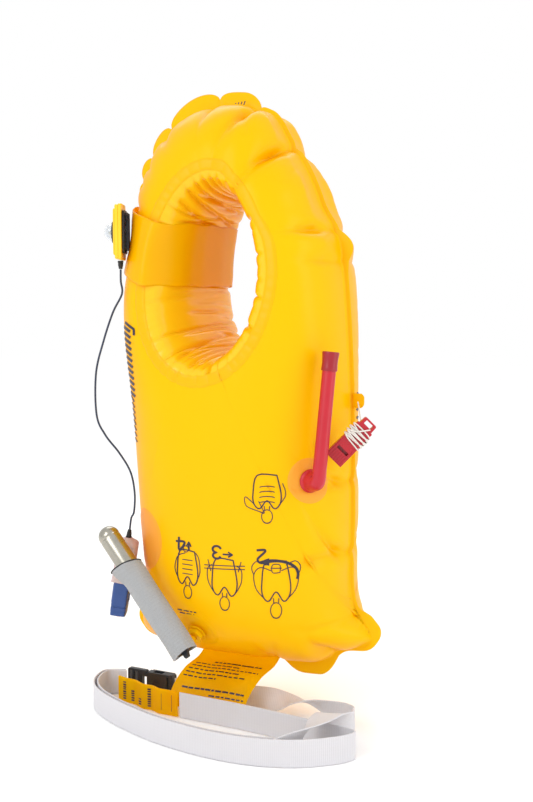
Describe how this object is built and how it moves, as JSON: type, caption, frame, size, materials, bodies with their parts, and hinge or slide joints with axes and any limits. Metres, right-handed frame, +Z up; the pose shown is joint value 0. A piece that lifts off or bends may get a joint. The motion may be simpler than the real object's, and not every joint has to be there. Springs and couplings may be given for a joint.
{
  "type": "inflatable life jacket",
  "caption": "Inflated one-chamber life jacket with neck opening, oral tube, gas cylinder in a sleeve, light with battery, whistle and waist belt on the floor.",
  "frame": {"origin": "centre of the bounding box at the bottom, on the surface that the belt rests on", "axes": "+Z up along the jacket, the jacket's front faces -Y, +X to the right when facing its front"},
  "size_m": [0.3031, 0.2384, 0.615],
  "materials": {
    "yellow_film": "glossy coated film",
    "weld_band": "satin welded film",
    "patch_film": "satin film patch",
    "yellow_label": "printed satin label",
    "yellow_plastic": "satin moulded",
    "red_rubber": "satin rubber",
    "red_plastic": "gloss moulded",
    "black_plastic": "matte moulded",
    "blue_plastic": "gloss moulded",
    "black_rubber": "matte rubber",
    "navy_cable": "satin jacketed cable",
    "steel": "bright plated",
    "brass": "turned",
    "battery_metal": "wrapped cell",
    "clear_lens": "clear dome",
    "lamp_glass": "clear bulb",
    "grey_cloth": "ribbed cloth",
    "black_elastic": "elastic binding",
    "white_pouch": "coated pouch",
    "white_cord": "twisted cord",
    "white_webbing": "woven webbing"
  },
  "bodies": {
    "jacket": {"front_panel": "yellow_film", "rear_panel": "yellow_film", "neck_gusset": "yellow_film", "front_neck_band": "weld_band", "rear_neck_band": "weld_band", "light_band": "weld_band", "side_patch": "patch_film", "oral_tube_patch": "patch_film", "inflator_patch": "patch_film", "oral_tube_flange": "red_rubber", "oral_tube": "red_rubber", "valve_spring": "steel", "cylinder_sleeve": "grey_cloth", "sleeve_elastic": "black_elastic", "inflator_body": "black_plastic", "lever_pin": "steel", "inflator_stem": "brass", "stem_nut": "brass", "stem_gasket": "black_rubber", "light_holder": "yellow_plastic", "light_clip": "black_plastic", "light_gland": "black_rubber", "lens_bezel": "black_plastic", "lens_dome": "clear_lens", "lamp_bulb": "lamp_glass", "light_cable": "navy_cable", "battery_case": "blue_plastic", "battery_cell": "battery_metal", "battery_pouch": "white_pouch", "battery_gland": "black_rubber", "whistle_tab": "yellow_film", "label_flap": "yellow_label", "belt_free_end": "white_webbing", "belt_front_layer": "white_webbing", "belt_crossing": "white_webbing", "belt_rear_run": "white_webbing", "belt_buckle_lead": "white_webbing", "belt_pull_tab": "yellow_label", "belt_loop": "yellow_film", "buckle_male": "black_plastic"},
    "mouth_valve": {"mouthpiece": "red_rubber", "valve_poppet": "black_plastic"},
    "cylinder": {"gas_cylinder": "steel", "cylinder_seal": "brass"},
    "lever": {"inflation_lever": "black_plastic"},
    "pin": {"firing_pin": "steel"},
    "plug": {"battery_plug": "red_plastic"},
    "whistle": {"whistle_body": "red_plastic", "lanyard_hank": "white_cord", "whistle_tether": "white_cord"},
    "buckle_socket": {"buckle_female": "black_plastic"},
    "upper_prong": {"prong_upper": "black_plastic"},
    "lower_prong": {"prong_lower": "black_plastic"}
  },
  "joints": [
    {"name": "mouthpiece_press", "type": "slide", "parent": "jacket", "child": "mouth_valve", "axis": [-0.0627, -0.0867, -0.9943], "range_m": [0, 0.003], "stiffness_N_per_m": 300, "deforming": ["valve_spring"]},
    {"name": "cylinder_draw", "type": "slide", "parent": "jacket", "child": "cylinder", "axis": [-0.6498, 0.0615, 0.7576], "range_m": [0, 0.03]},
    {"name": "lever_pull", "type": "hinge", "parent": "jacket", "child": "lever", "pos_m": [-0.01396, -0.07886, 0.0867], "axis": [0.0941, 0.9956, 0], "range_deg": [0, 80]},
    {"name": "pin_stroke", "type": "slide", "parent": "jacket", "child": "pin", "axis": [-0.6498, 0.0615, 0.7576], "range_m": [0, 0.003]},
    {"name": "plug_pull", "type": "slide", "parent": "jacket", "child": "plug", "axis": [-0.1261, -0.0588, -0.9903], "range_m": [0, 0.008]},
    {"name": "whistle_swing", "type": "hinge", "parent": "jacket", "child": "whistle", "pos_m": [0.1195, 0.0231, 0.315], "axis": [0.4226, -0.9063, 0], "range_deg": [-3, 25]},
    {"name": "buckle_release", "type": "slide", "parent": "jacket", "child": "buckle_socket", "axis": [0.9976, -0.0698, 0], "range_m": [0, 0.026], "deforming": ["belt_buckle_lead"]},
    {"name": "prong_upper_press", "type": "hinge", "parent": "jacket", "child": "upper_prong", "pos_m": [-0.10209, 0.00177, 0.0208], "axis": [0.0698, 0.9976, 0], "range_deg": [0, 8], "stiffness_Nm_per_rad": 0.3},
    {"name": "prong_lower_press", "type": "hinge", "parent": "jacket", "child": "lower_prong", "pos_m": [-0.10209, 0.00177, 0.0082], "axis": [0.0698, 0.9976, 0], "range_deg": [-8, 0], "stiffness_Nm_per_rad": 0.3}
  ],
  "couplings": [
    {"joint": "pin_stroke", "follows": "lever_pull", "m_per_rad": 0.00214},
    {"joint": "prong_lower_press", "follows": "prong_upper_press", "ratio": -1}
  ]
}
